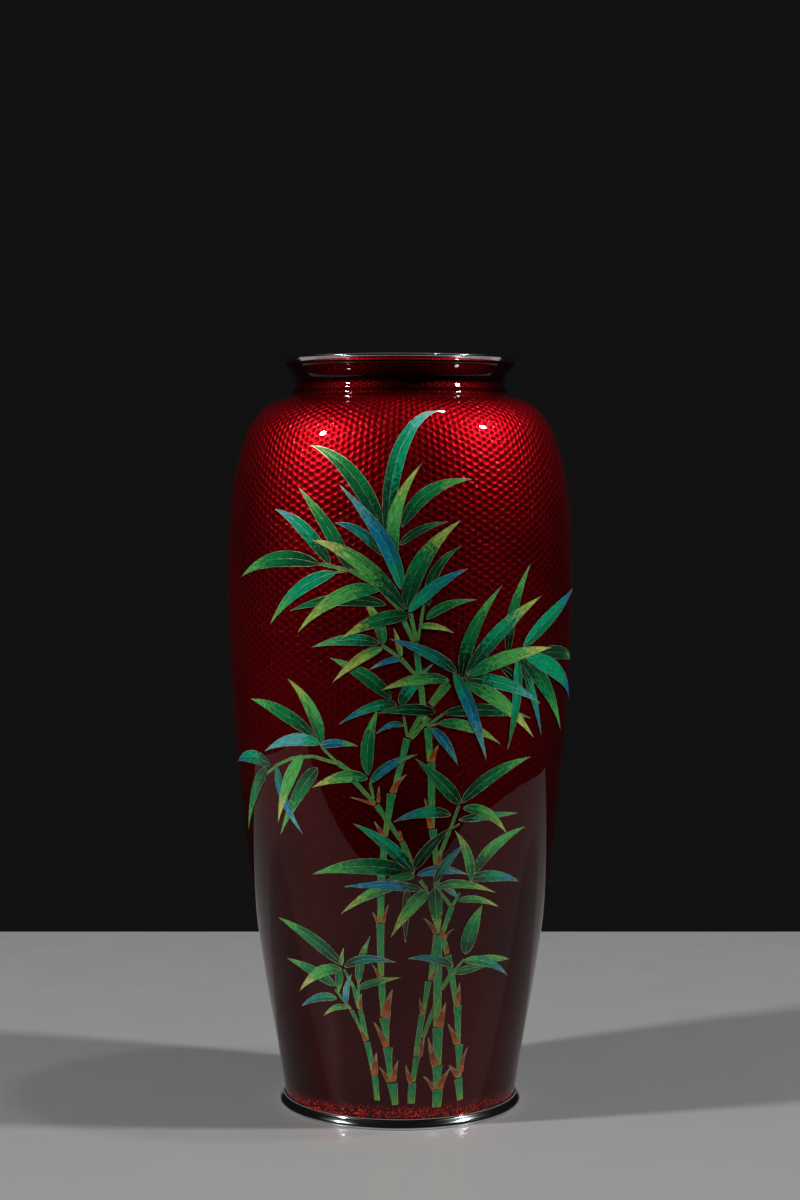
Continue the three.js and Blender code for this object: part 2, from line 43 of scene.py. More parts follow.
# Outline of the polished enamel, radius and height in mm, from the foot ring to the mouth ring.
OUTLINE = [
    (38.0, 3.4), (39.7, 15), (44.1, 40), (49.8, 80), (54.0, 120), (56.2, 160), (56.25, 180),
    (55.0, 200), (52.3, 214), (48.8, 223), (44.4, 228.5), (41.2, 230.7), (37.6, 231.9),
    (35.8, 232.4), (35.0, 233.1), (34.85, 233.9), (34.75, 234.6), (34.35, 235.4),
    (34.05, 236.1), (34.0, 236.9), (34.25, 238.1), (35.05, 239.5), (36.2, 240.9),
    (37.45, 242.2), (37.65, 243),
]
WALL_STEP = 1.3
TURNED_COLUMNS = 256
SHARP_ANGLE = 38

# Columns of foil dimples round the vase, and the height of their rows in column widths.
FOIL_COLUMNS = 166
HEX_ROW = 2 / math.sqrt(3)


def spline(knots, step):
    """Centripetal Catmull-Rom curve through the knots, sampled about every step."""
    first = tuple(2 * a - b for a, b in zip(knots[0], knots[1]))
    last = tuple(2 * a - b for a, b in zip(knots[-1], knots[-2]))
    points = [first, *knots, last]
    curve = [knots[0]]
    for p0, p1, p2, p3 in zip(points, points[1:], points[2:], points[3:]):
        t1 = math.sqrt(math.dist(p0, p1))
        t2 = t1 + math.sqrt(math.dist(p1, p2))
        t3 = t2 + math.sqrt(math.dist(p2, p3))
        count = max(2, round(math.dist(p1, p2) / step))
        for i in range(1, count + 1):
            t = t1 + (t2 - t1) * i / count
            a1 = [(t1 - t) / t1 * a + t / t1 * b for a, b in zip(p0, p1)]
            a2 = [(t2 - t) / (t2 - t1) * a + (t - t1) / (t2 - t1) * b for a, b in zip(p1, p2)]
            a3 = [(t3 - t) / (t3 - t2) * a + (t - t2) / (t3 - t2) * b for a, b in zip(p2, p3)]
            b1 = [(t2 - t) / t2 * a + t / t2 * b for a, b in zip(a1, a2)]
            b2 = [(t3 - t) / (t3 - t1) * a + (t - t1) / (t3 - t1) * b for a, b in zip(a2, a3)]
            curve.append(tuple(
                (t2 - t) / (t2 - t1) * a + (t - t1) / (t2 - t1) * b for a, b in zip(b1, b2)
            ))
    return curve


WALL = spline(OUTLINE, WALL_STEP)
WALL_HEIGHTS = [height for _, height in WALL]


def on_wall(height):
    """Radius of the enamel at a height, and its outward normal as (radial, upward)."""
    i = min(max(bisect.bisect_right(WALL_HEIGHTS, height) - 1, 0), len(WALL) - 2)
    (r0, z0), (r1, z1) = WALL[i], WALL[i + 1]
    share = (height - z0) / (z1 - z0)
    normals = []
    for j in (i, i + 1):
        (ra, za), (rb, zb) = WALL[max(j - 1, 0)], WALL[min(j + 1, len(WALL) - 1)]
        length = math.dist((ra, za), (rb, zb))
        normals.append(((zb - za) / length, (ra - rb) / length))
    (a, b), (c, d) = normals
    return r0 + (r1 - r0) * share, (a + (c - a) * share, b + (d - b) * share)


def placed(degrees, height, proud):
    """Point of the vase surface, in metres, raised by proud mm. Angle 0 faces the viewer."""
    radius, (out, up) = on_wall(height)
    angle = math.radians(degrees)
    reach = radius + out * proud
    return Vector((reach * math.sin(angle), -reach * math.cos(angle), height + up * proud)) * MM


def joined_mesh(name, points, faces):
    """Smooth mesh object from points in metres."""
    mesh = bpy.data.meshes.new(name)
    mesh.from_pydata(points, [], faces)
    mesh.validate()
    mesh.shade_smooth()
    piece = bpy.data.objects.new(name, mesh)
    bpy.context.scene.collection.objects.link(piece)
    return piece


def turned(name, profile, rows=None):
    """Body of revolution of a closed profile in mm. rows gives each profile point its foil row."""
    columns = TURNED_COLUMNS
    rows = rows or [0.0] * len(profile)
    points, rings = [], []
    for radius, height in profile:
        if radius < 1e-6:
            rings.append([len(points)] * columns)
            points.append((0, 0, height * MM))
            continue
        rings.append(range(len(points), len(points) + columns))
        for k in range(columns):
            angle = math.tau * k / columns
            points.append((
                radius * math.sin(angle) * MM, -radius * math.cos(angle) * MM, height * MM,
            ))
    faces, lattice = [], []
    for i in range(len(profile)):
        j = (i + 1) % len(profile)
        for k in range(columns):
            n = (k + 1) % columns
            u0, u1 = k * FOIL_COLUMNS / columns, (k + 1) * FOIL_COLUMNS / columns
            corners = [
                (rings[i][k], (u0, rows[i])), (rings[i][n], (u1, rows[i])),
                (rings[j][n], (u1, rows[j])), (rings[j][k], (u0, rows[j])),
            ]
            kept = [c for q, c in enumerate(corners) if c[0] != corners[q - 1][0]]
            if len(kept) > 2:
                faces.append([vertex for vertex, _ in kept])
                lattice.extend(uv for _, uv in kept)
    piece = joined_mesh(name, points, faces)
    layer = piece.data.uv_layers.new(name="lattice")
    if len(layer.data) == len(lattice):
        layer.data.foreach_set("uv", [value for uv in lattice for value in uv])
    piece.data.set_sharp_from_angle(angle=math.radians(SHARP_ANGLE))
    return piece


def inset(depth, step):
    """Every step-th point of the wall moved inwards, its ends kept at their heights."""
    moved = []
    for radius, height in WALL[::step] + ([WALL[-1]] if (len(WALL) - 1) % step else []):
        _, (out, up) = on_wall(height)
        if height in (WALL_HEIGHTS[0], WALL_HEIGHTS[-1]):
            moved.append((radius - depth / out, height))
        else:
            moved.append((radius - depth * out, height - depth * up))
    return moved


def linear(code):
    """Linear colour of a six-digit sRGB code."""
    values = [int(code[i:i + 2], 16) / 255 for i in (0, 2, 4)]
    return tuple(v / 12.92 if v <= 0.04045 else ((v + 0.055) / 1.055) ** 2.4 for v in values) + (1,)


class Shader:
    """A node material built step by step around one Principled BSDF."""

    def __init__(self, name, **uniform):
        self.material = bpy.data.materials.new(name)
        self.material.use_nodes = True
        self.tree = self.material.node_tree
        self.bsdf = self.tree.nodes["Principled BSDF"]
        for socket, value in uniform.items():
            self.bsdf.inputs[socket.replace("_", " ")].default_value = value

    def plug(self, target, value):
        """Link a node's output to a socket, or set the socket to a plain value."""
        if isinstance(value, bpy.types.NodeSocket):
            self.tree.links.new(value, target)
        else:
            target.default_value = value

    def node(self, kind, wires=None, **settings):
        made = self.tree.nodes.new("ShaderNode" + kind)
        for key, value in settings.items():
            setattr(made, key, value)
        for key, value in (wires or {}).items():
            self.plug(made.inputs[key], value)
        return made

    def math(self, operation, *values):
        made = self.node("Math", operation=operation)
        for socket, value in zip(made.inputs, values):
            self.plug(socket, value)
        return made.outputs[0]

    def ramp(self, value, low, high, start=0.0, end=1.0):
        """value from low..high, smoothly mapped to start..end."""
        made = self.node("MapRange", {
            "Value": value, "From Min": low, "From Max": high, "To Min": start, "To Max": end,
        }, interpolation_type="SMOOTHSTEP")
        return made.outputs[0]

    def mix(self, share, first, second, blend="MIX"):
        made = self.node("Mix", data_type="RGBA", blend_type=blend)
        for key, value in ((0, share), (6, first), (7, second)):
            self.plug(made.inputs[key], value)
        return made.outputs[2]

    def dimmed(self, colour, share):
        """colour multiplied by share, the same in all three channels."""
        grey = self.node("CombineXYZ", {0: share, 1: share, 2: share}).outputs[0]
        return self.mix(1.0, colour, grey, "MULTIPLY")

    def noise(self, vector, scale, detail=2.0, rough=0.5):
        made = self.node("TexNoise", {
            "Vector": vector, "Scale": scale, "Detail": detail, "Roughness": rough,
        })
        return made.outputs["Fac"]

    def place(self):
        """Position on the object, in metres."""
        return self.node("TexCoord").outputs["Object"]

    def stretched(self, vector, scale):
        return self.node("Mapping", {"Vector": vector, "Scale": scale}).outputs[0]

    def bump(self, height, distance):
        made = self.node("Bump", {"Height": height, "Distance": distance, "Strength": 1.0})
        return made.outputs[0]

    def set(self, **sockets):
        """Plug values into the Principled BSDF's sockets, named with underscores."""
        for socket, value in sockets.items():
            self.plug(self.bsdf.inputs[socket.replace("_", " ")], value)


# Dimple radius in row spacings, depth in mm, and how round its floor is; the web lies between.
DIMPLE_REACH = 0.47
DIMPLE_DEPTH = 0.16
DIMPLE_POWER = 1.2
DIMPLE_WOBBLE = 0.55
WEB_ROUGHNESS = 0.37
DIMPLE_ROUGHNESS = 0.45


def foil_dimples(shader, lattice):
    """Depth, from 0 on the flat web to 1, of round dimples in a hexagonal lattice."""
    wobble = shader.node("TexNoise", {"Vector": lattice, "Scale": 0.55, "Detail": 1.0})
    shift = shader.node("VectorMath", {0: wobble.outputs["Color"], 1: (0.5, 0.5, 0.5)},
                        operation="SUBTRACT")
    small = shader.node("VectorMath", {0: shift.outputs[0], "Scale": DIMPLE_WOBBLE},
                        operation="SCALE")
    moved = shader.node("VectorMath", {0: lattice, 1: small.outputs[0]}, operation="ADD")
    parts = shader.node("SeparateXYZ", {0: moved.outputs[0]})
    squares = []
    for column, row in ((0.0, 0.0), (1.0, 0.5)):
        half = shader.math("MULTIPLY", shader.math("ADD", parts.outputs[0], column), 0.5)
        across = shader.math("SUBTRACT", half, shader.math("ROUND", half))
        across = shader.math("MULTIPLY", across, 2 / HEX_ROW)
        level = shader.math("ADD", parts.outputs[1], row)
        along = shader.math("SUBTRACT", level, shader.math("ROUND", level))
        squares.append(shader.math("ADD", shader.math("MULTIPLY", across, across),
                                   shader.math("MULTIPLY", along, along)))
    nearest = shader.math("MINIMUM", *squares)
    inside = shader.math("SUBTRACT", 1.0, shader.math("DIVIDE", nearest, DIMPLE_REACH ** 2))
    return shader.math("POWER", shader.math("MAXIMUM", inside, 0.0), DIMPLE_POWER)


RUBY = (0.44, 0.0035, 0.009, 1)
RUBY_DEEP = (0.07, 0.0004, 0.0014, 1)
RUBY_EDGE = (0.4, 0.01, 0.02, 1)
RUBY_GLINT = (1.0, 0.04, 0.015, 1)
SPECK = (0.85, 0.45, 0.45, 1)

# Heights in metres between which the look changes: crinkled foil shows just above the foot, the
# dimples grow up the body and so does the colour's painted light, a painted shade darkest at the
# foot;
# the dimples stop where the neck begins, and the painted shade deepens there again.
FOOT_BAND = (0.0045, 0.0085)
PAINTED_SHADE_RISE = (0.07, 0.19)
DIMPLE_RISE = (0.09, 0.18)
HOLLOW_RISE = (0.1, 0.17)
NECK_START = (0.2312, 0.2335)


def ruby_enamel():
    """Clear polished ruby enamel over dimpled silver foil."""
    s = Shader("ruby_enamel", Metallic=0.94, Specular_Tint=RUBY_EDGE, Coat_Weight=0.95,
               Coat_Roughness=0.012, Coat_IOR=1.36)
    place = s.place()
    lattice = s.node("UVMap", uv_map="lattice").outputs["UV"]
    height = s.node("SeparateXYZ", {0: place}).outputs[2]
    foot = s.ramp(height, *FOOT_BAND, 1.0, 0.0)
    crinkle = s.noise(place, 1500.0, 3.0, 0.6)
    dimple = foil_dimples(s, lattice)
    below_neck = s.ramp(height, *NECK_START, 1.0, 0.0)
    depth = s.math("MULTIPLY", s.ramp(height, *DIMPLE_RISE, 0.08, DIMPLE_DEPTH), below_neck)
    hammered = s.math("MULTIPLY", crinkle, s.ramp(below_neck, 0.0, 1.0, 0.2, 0.05))
    relief = s.math("SUBTRACT", hammered, s.math("MULTIPLY", dimple, depth))
    relief = s.math("ADD", relief, s.math("MULTIPLY", s.math("MULTIPLY", crinkle, 0.5), foot))
    s.set(Normal=s.bump(relief, MM))
    cloud = s.noise(place, 26.0, 3.0, 0.55)
    hollow = s.math("MULTIPLY", dimple, s.ramp(height, *HOLLOW_RISE, 0.2, 1.0))
    clear = s.math("MULTIPLY", s.math("SUBTRACT", 1.0, hollow), s.ramp(cloud, 0.3, 0.65, 0.5, 1.0))
    colour = s.mix(clear, RUBY_DEEP, RUBY)
    # Painted shade: the colour is darkened towards the foot and again in the neck, where the vase
    # takes less light; the specks fade with it.
    painted_shade_factor = s.math("MULTIPLY", s.ramp(height, *PAINTED_SHADE_RISE, 0.16, 1.0),
                   s.ramp(below_neck, 0.0, 1.0, 0.12, 1.0))
    colour = s.dimmed(colour, painted_shade_factor)
    colour = s.mix(s.math("MULTIPLY", foot, s.ramp(crinkle, 0.5, 0.62)), colour, RUBY_GLINT)
    speck = s.ramp(s.noise(place, 2300.0, 1.0), 0.745, 0.775)
    colour = s.mix(s.math("MULTIPLY", speck, painted_shade_factor), colour, SPECK)
    s.set(Base_Color=colour, Roughness=s.ramp(dimple, 0.0, 0.5, WEB_ROUGHNESS, DIMPLE_ROUGHNESS))
    return s.material


FLECK = (0.16, 0.42, 0.2, 1)
SHADE = (0.004, 0.05, 0.025, 1)


def cell_enamel():
    """Opaque leaf and culm enamels, shaded along each cell through its own three tones."""
    s = Shader("cell_enamel", Specular_IOR_Level=0.1, Coat_Weight=0.65, Coat_Roughness=0.015,
               Coat_IOR=1.5)
    cell = s.node("SeparateXYZ", {0: s.node("UVMap", uv_map="cell").outputs["UV"]})
    grain = s.node("UVMap", uv_map="grain").outputs["UV"]
    blotch = s.noise(grain, 0.9, 3.0, 0.6)
    streak = s.noise(s.stretched(grain, (0.35, 3.2, 1.0)), 1.0, 3.0, 0.6)
    along = s.math("ADD", cell.outputs[0], s.ramp(blotch, 0.3, 0.7, -0.12, 0.12))
    tones = [s.node("Attribute", attribute_name=name).outputs["Color"]
             for name in ("tone_base", "tone_middle", "tone_tip")]
    colour = s.mix(s.ramp(along, 0.16, 0.42), tones[0], tones[1])
    colour = s.mix(s.ramp(along, 0.56, 0.84), colour, tones[2])
    colour = s.dimmed(colour, s.ramp(streak, 0.3, 0.72, 0.45, 1.3))
    split = s.node("Attribute", attribute_name="split").outputs["Fac"]
    half = s.ramp(s.math("MULTIPLY", split, cell.outputs[1]), 0.0, 0.1)
    half = s.math("MULTIPLY", half, s.ramp(along, 0.25, 0.95, 0.5, 0.0))
    colour = s.mix(half, colour, SHADE)
    fleck = s.ramp(s.noise(grain, 3.4, 2.0), 0.62, 0.75)
    colour = s.mix(s.math("MULTIPLY", fleck, 0.35), colour, FLECK)
    s.set(Base_Color=colour, Roughness=s.ramp(streak, 0.3, 0.7, 0.28, 0.42))
    return s.material


def metal(name, colour, roughness, scale, dents=0.0, dullest=0.86):
    """Polished metal with a faint drawn grain, duller in cloudy patches."""
    s = Shader(name, Metallic=1.0)
    place = s.place()
    cloud = s.noise(place, scale, 3.0, 0.6)
    grain = s.noise(s.stretched(place, (1.0, 1.0, 30.0)), scale * 2, 2.0)
    s.set(Base_Color=s.dimmed((*colour, 1), s.ramp(cloud, 0.3, 0.7, dullest, 1.0)),
          Roughness=s.ramp(grain, 0.3, 0.7, roughness * 0.7, roughness * 1.3))
    if dents:
        s.set(Normal=s.bump(cloud, dents * MM))
    return s.material


def counter_enamel():
    """Opaque dark enamel of the inside and the base, with the ripple of a fire polish."""
    s = Shader("counter_enamel", Roughness=0.12, Coat_Weight=0.6, Coat_Roughness=0.05)
    place = s.place()
    cloud = s.noise(place, 90.0, 4.0, 0.6)
    speck = s.ramp(s.noise(place, 900.0, 2.0), 0.62, 0.7)
    colour = s.mix(cloud, (0.006, 0.012, 0.03, 1), (0.018, 0.045, 0.07, 1))
    colour = s.mix(s.math("MULTIPLY", speck, 0.5), colour, (0.08, 0.14, 0.16, 1))
    s.set(Base_Color=colour, Normal=s.bump(s.noise(place, 160.0, 2.0), 0.12 * MM))
    return s.material


# Bamboo cells lie in the polished surface. Angles are degrees from the front, heights and widths mm.
# Groups run from the back of the picture to the front, and so do the leaves in each.
GROUP_ORDER = [
    "culm_2", "culm_3", "culm_4", "culm_1", "culm_5",
    "spray_foot_left", "spray_foot_right", "spray_low_right", "spray_mid_right",
    "spray_centre", "spray_centre_low", "spray_left", "spray_middle",
    "spray_middle_left", "spray_crown", "spray_upper_left", "spray_upper", "spray_right",
]

# A leaf is base, middle and tip of its centre line, greatest width, and its three tones in order.
LEAVES = {
    "culm_1": [
        (-16.5, 48.2, -15.2, 55.3, -11.1, 63.7, 2.6, "GGL"),
        (-17, 46, -9.5, 48.7, 0.7, 50.3, 2.2, "GGY"),
        (-22.4, 41, -21.9, 45.8, -19.2, 51, 2.1, "BCC"),
        (-26.6, 42.3, -35, 41.9, -45.7, 37.8, 2.7, "ETB"),
        (-22, 39.5, -27.3, 39.3, -33.7, 35.9, 1.8, "GLY"),
    ],
    "culm_5": [
        (21.3, 74.6, 29.8, 74.3, 39.4, 71.1, 2.2, "GLP"),
    ],
    "spray_foot_left": [
        (-26.7, 46.5, -37.5, 50.6, -51.2, 52.9, 3.6, "GGL"),
        (-23.3, 53.7, -37.2, 61.6, -53.7, 65.9, 4.3, "DGL"),
        (-23.4, 52.1, -34, 50.1, -45.7, 42.7, 3.6, "GLP"),
        (-23.3, 53.3, -23, 56, -22, 59.2, 1.3, "LLY"),
        (-24, 52, -24.9, 48.4, -25.4, 44.2, 2.7, "GGL"),
        (-22, 53, -13, 56, -1.8, 55.2, 2.8, "DTB"),
    ],
    "spray_foot_right": [
        (27, 54.5, 38, 54.3, 48.6, 53, 2.8, "GLL"),
        (21.8, 51, 29, 52, 37, 52.2, 2.6, "GGG"),
        (25.2, 54.6, 36, 53.5, 48.7, 47.7, 3, "LEB"),
        (26, 57, 27.9, 65, 31.8, 72.6, 5.4, "DGL"),
        (21, 53.2, 12.5, 56.2, 3, 56.4, 2.5, "DTB"),
    ],
    "spray_left": [
        (-29.3, 126.3, -43.2, 133.2, -59.3, 136, 4.5, "DGL"),
        (-27, 124, -38.5, 124.5, -52.2, 119.8, 3.9, "ECC"),
        (-27, 123.2, -21, 124.5, -13.8, 123.8, 2.6, "BBL"),
        (-26.5, 123.7, -30.2, 135, -39, 143.8, 4.4, "GLY"),
        (-28.5, 116.2, -36.5, 108, -47.2, 93.6, 4.6, "DGL"),
        (-46, 116, -43.8, 105.5, -36, 94.8, 3.7, "TBC"),
        (-33.8, 120, -41.8, 110, -47.7, 97.3, 4.5, "LLP"),
        (-49.3, 115.6, -62, 117.2, -78.5, 113.8, 4.4, "DEB"),
        (-51.5, 114.3, -61.5, 105.7, -72.5, 92, 4.6, "DGL"),
        (-10.4, 114.8, -10.4, 125, -6.8, 135.8, 4.1, "GGL"),
        (-10.8, 113.6, -19.5, 113.9, -31, 109.9, 3.7, "GLP"),
        (-9.8, 112.3, -3.3, 118, 5.6, 121.3, 2.8, "TBL"),
    ],
    "spray_middle_left": [
        (-5.6, 155.4, -6.8, 162, -12.5, 171, 3.4, "GLY"),
        (-6.5, 155.6, -16.5, 156.7, -29, 154, 3.5, "DEL"),
        (-5.5, 154.2, -13.2, 150.6, -22, 143.2, 3.1, "LYP"),
        (0.3, 151.7, -0.5, 155.8, -2, 160.6, 1.9, "LYY"),
        (0, 150.7, -4, 150.3, -10, 147.4, 1.9, "BBC"),
    ],
    "spray_upper_left": [
        (-15.8, 178, -23.8, 191.5, -35, 203.2, 4.3, "DGL"),
        (-22.3, 179.7, -32.6, 190.8, -44.5, 196.3, 4.4, "DEC"),
        (-26.3, 179.8, -44, 180.7, -63, 174.6, 4.9, "DGL"),
        (-20.5, 177.2, -34, 171.5, -46.2, 160.3, 4.3, "EEL"),
        (-4.3, 167.6, -20, 168.9, -37, 165, 3.8, "DDG"),
        (-6, 172.2, -20, 169.5, -34.2, 158.3, 4.6, "GLY"),
        (1.5, 166, -13, 180.8, -29.2, 187.1, 5, "DLP"),
    ],
    "spray_crown": [
        (-5, 189, -16.2, 207.6, -32.2, 216.2, 5.2, "DGL"),
        (-5, 182.5, -12.8, 189.8, -21, 192.4, 3.1, "DTB"),
        (0.5, 191.3, 9.5, 202, 24, 205.8, 4.2, "DGL"),
        (-4, 187, 0.7, 216.2, 14.8, 226.7, 4.8, "DEC"),
        (0, 185.8, 6.3, 190.4, 15.2, 192.8, 2.5, "DDG"),
        (-1, 181.5, -1.2, 196.5, 7.4, 210.9, 4, "GLY"),
    ],
    "spray_upper": [
        (0.3, 172.3, -5.8, 188.3, -20, 204.2, 4.6, "EBC"),
        (8.8, 167.2, 11.2, 178, 19.5, 185.4, 3.2, "DDG"),
        (2, 166.3, 7.2, 181.5, 19.6, 193.4, 5.4, "DGY"),
        (8.3, 163.1, 14.5, 167.2, 24.6, 168.9, 2.9, "GGL"),
        (6, 160.7, 11, 160.9, 17, 158.8, 2, "LYP"),
        (2.6, 165.3, 11, 173.2, 21.6, 178.4, 3.7, "ETB"),
        (3, 164.3, -7.5, 162.6, -18.8, 156.9, 4.2, "DGY"),
    ],
    "spray_right": [
        (37, 151.5, 39, 166, 46.7, 179.7, 4, "KGL"),
        (41, 142.5, 37, 146, 33, 148.2, 2.6, "KKD"),
        (14, 134, 30, 134.4, 48.2, 130.7, 3.8, "DDE"),
        (12.3, 131, 23.2, 129.4, 35, 123.4, 3.2, "GLY"),
        (20.8, 143.5, 35.2, 136.2, 50.6, 124.2, 4.6, "GLP"),
        (40.5, 150.8, 41, 137, 38, 121.5, 3.9, "EEG"),
        (42.5, 148, 49, 137.5, 54.7, 124.8, 3.2, "DEB"),
        (50, 151.2, 68, 150, 88, 146.3, 4.2, "DDL"),
        (42.5, 149.8, 57, 139.3, 70.5, 125, 5.8, "DGL"),
        (44, 150.5, 64.5, 144, 87, 133, 5.6, "EEB"),
        (43, 153.6, 59, 163.2, 80, 170.2, 5.2, "EEB"),
        (20, 144.5, 23.6, 159.5, 34, 173.2, 4.3, "KGL"),
        (21.5, 145.8, 34.5, 159.8, 51.6, 169.1, 5, "DEY"),
        (20.8, 144.8, 36, 142.1, 53, 135, 4.1, "DEC"),
        (21.8, 145.6, 38.5, 150.9, 58.5, 152.4, 4.6, "GLP"),
        (1, 130.3, -2.8, 130.6, -7.6, 127.9, 1.9, "TBB"),
        (10.3, 129.4, 15, 124.7, 19.4, 117.4, 3, "BBC"),
        (18, 146.6, 9, 152.6, -3.6, 157.3, 3.5, "DTB"),
        (17, 146.6, 23.4, 134.5, 29.6, 118.6, 4.1, "EBC"),
    ],
    "spray_middle": [
        (-2.8, 138.7, -11.8, 146, -22.6, 150.9, 4.4, "DGL"),
        (0.3, 136.7, 3.5, 142.5, 10.4, 149.4, 3.8, "DEE"),
        (-1, 136.8, -9, 136, -20, 130.4, 3, "DEB"),
        (11.2, 134.4, 3, 135.4, -7.2, 134.2, 3.4, "KDG"),
        (15.2, 144.3, 5, 144.6, -6, 141.2, 3.5, "GLY"),
    ],
    "spray_mid_right": [
        (20.3, 100.4, 32, 101, 45, 100.8, 2.6, "DEL"),
        (17.3, 102, 8, 103.1, -2.2, 100.2, 3.4, "DEB"),
        (20.6, 105.4, 14, 112.2, 5, 120.1, 4.4, "DGG"),
        (21, 105.8, 33.5, 114.2, 49.6, 118.3, 4.3, "DGL"),
        (21.8, 104, 31.3, 101.7, 40.3, 94.7, 3.3, "GLY"),
    ],
    "spray_low_right": [
        (27, 82.7, 35.8, 91.2, 49.7, 95.8, 4.2, "DLL"),
        (26, 81.2, 36.5, 81.3, 49.5, 78.2, 3.6, "DEB"),
        (26.3, 80.5, 24.2, 89.3, 19, 97.1, 3.2, "GLY"),
    ],
    "spray_centre": [
        (4.6, 83.6, -13, 85.9, -33.2, 82.1, 5.2, "KGL"),
        (5, 84, -4.6, 93, -16.2, 99.4, 3.9, "DEE"),
        (5, 85, 10, 91.8, 17.8, 98.2, 3.5, "KDD"),
        (6, 83.3, 15, 84.7, 24.4, 82.8, 3, "BBC"),
        (5.2, 83, 0.5, 82.8, -5, 81.7, 2.4, "GGG"),
    ],
    "spray_centre_low": [
        (12.3, 80.5, 16.5, 87, 23.5, 92.8, 3, "DTB"),
        (1, 80.3, -9.8, 77.6, -22.2, 70.2, 3.3, "GLY"),
        (8, 78.6, -5, 80.1, -20.3, 79.1, 3, "DBB"),
        (2.6, 79, 2.1, 71, 2, 61.7, 2.3, "KKD"),
        (10.3, 78, 3.9, 73, -3.3, 63.5, 4.2, "GLY"),
        (15, 80, 18.5, 78, 21.4, 75.2, 2.2, "CCC"),
        (12.8, 78.8, 22.5, 79.9, 37, 76, 2.8, "GLY"),
        (12.5, 79.3, 13.2, 72, 14.8, 64.3, 4.2, "DGY"),
    ],
}

